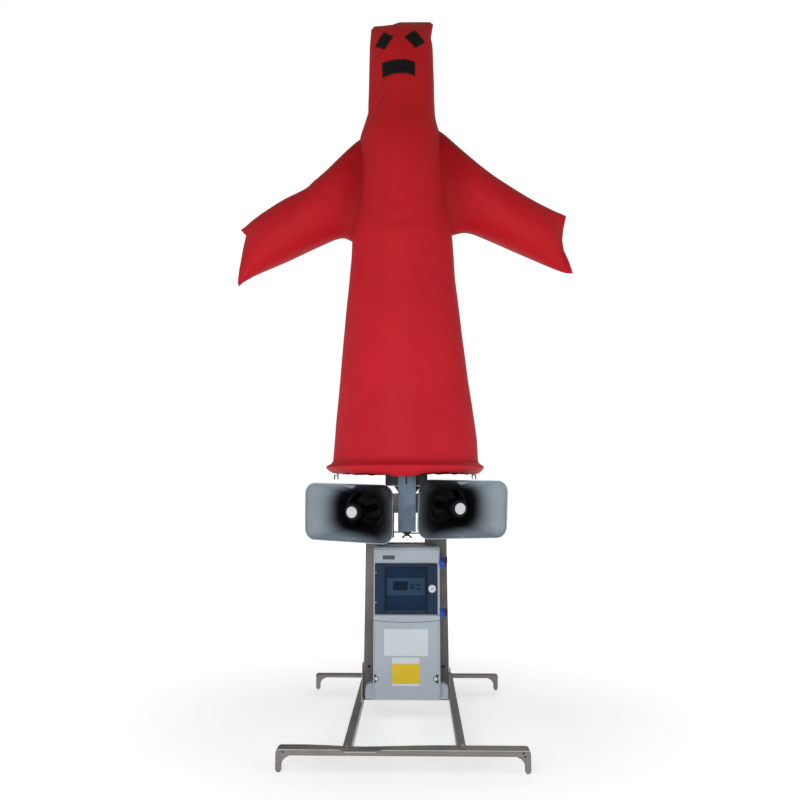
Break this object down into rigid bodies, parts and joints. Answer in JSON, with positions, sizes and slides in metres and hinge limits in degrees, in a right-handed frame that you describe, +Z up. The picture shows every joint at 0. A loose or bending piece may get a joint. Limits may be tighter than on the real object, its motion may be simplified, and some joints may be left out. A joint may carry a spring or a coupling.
{
  "type": "inflatable scarecrow on a steel stand with horn loudspeakers",
  "caption": "Fan-blown red nylon figure with arms and a scowling face, on a low steel stand that carries horn loudspeakers and a control box with a window door.",
  "frame": {"origin": "on the floor, under the middle of the stand's bounding box", "axes": "+X to the right seen from the front, +Y towards the back, +Z up; the face and the box look along -Y"},
  "size_m": [1.0941, 0.841, 2.283],
  "materials": {
    "red_nylon": "satin woven nylon",
    "black_nylon": "matt woven nylon",
    "steel": "brushed",
    "black_steel": "satin black",
    "horn_plastic": "satin",
    "black_plastic": "satin",
    "light_grey_plastic": "satin",
    "smoked_window": "smoked clear plastic",
    "dark_panel": "satin",
    "timer_case": "satin",
    "white_plastic": "gloss",
    "yellow_label": "printed film, blank",
    "blue_plastic": "gloss"
  },
  "bodies": {
    "stand": {"body_cloth": "red_nylon", "sleeve_left": "red_nylon", "sleeve_right": "red_nylon", "face_eye_left": "black_nylon", "face_eye_right": "black_nylon", "face_mouth": "black_nylon", "base_disc": "black_plastic", "hem_clip_left": "black_steel", "hem_clip_right": "black_steel", "fan_frame": "black_plastic", "fan_tray": "steel", "fan_gusset": "steel", "post": "steel", "post_stay": "steel", "cross_member": "steel", "upright_left": "steel", "upright_right": "steel", "box_plate": "steel", "rail_left": "steel", "rail_right": "steel", "crossbar_front": "steel", "crossbar_rear": "steel", "box_base": "light_grey_plastic", "box_cover": "light_grey_plastic", "inner_panel": "dark_panel", "timer_unit": "timer_case", "timer_screen": "black_plastic", "label_white": "white_plastic", "label_yellow": "yellow_label", "cover_screw_left": "white_plastic", "cover_screw_right": "white_plastic", "socket_upper": "blue_plastic", "socket_lower": "blue_plastic", "socket_cap_upper": "black_plastic", "socket_cap_lower": "black_plastic", "wing_screw": "black_steel"},
    "fan": {"fan_rotor": "black_plastic"},
    "door": {"window_door": "smoked_window"},
    "lock": {"door_lock": "white_plastic"},
    "yoke_left": {"horn_yoke_left": "black_steel"},
    "horn_left": {"horn_flare_left": "horn_plastic", "horn_bell_left": "black_plastic", "horn_plug_left": "black_plastic", "horn_disc_left": "white_plastic"},
    "yoke_right": {"horn_yoke_right": "black_steel"},
    "horn_right": {"horn_flare_right": "horn_plastic", "horn_bell_right": "black_plastic", "horn_plug_right": "black_plastic", "horn_disc_right": "white_plastic"}
  },
  "joints": [
    {"name": "fan_spin", "type": "hinge", "parent": "stand", "child": "fan", "pos_m": [0.005, 0.0175, 0.7465], "axis": [0, 0, 1], "continuous": true},
    {"name": "window_hinge", "type": "hinge", "parent": "stand", "child": "door", "pos_m": [-0.0903, -0.083, 0.4162], "axis": [0, 0, -1], "range_deg": [0, 110]},
    {"name": "lock_turn", "type": "hinge", "parent": "door", "child": "lock", "pos_m": [0.0826, -0.083, 0.4168], "axis": [0, -1, 0], "range_deg": [0, 90]},
    {"name": "horn_swivel_left", "type": "hinge", "parent": "stand", "child": "yoke_left", "pos_m": [0.007, -0.066, 0.582], "axis": [0, 0, 1], "range_deg": [-8, 12]},
    {"name": "horn_tilt_left", "type": "hinge", "parent": "yoke_left", "child": "horn_left", "pos_m": [-0.10991, -0.02268, 0.65376], "axis": [-0.9272, 0.3746, 0], "range_deg": [-12, 5]},
    {"name": "horn_swivel_right", "type": "hinge", "parent": "stand", "child": "yoke_right", "pos_m": [0.007, -0.066, 0.582], "axis": [0, 0, 1], "range_deg": [-12, 3]},
    {"name": "horn_tilt_right", "type": "hinge", "parent": "yoke_right", "child": "horn_right", "pos_m": [0.11911, -0.02268, 0.66436], "axis": [-0.9272, -0.3746, 0], "range_deg": [-12, 2.5]}
  ]
}
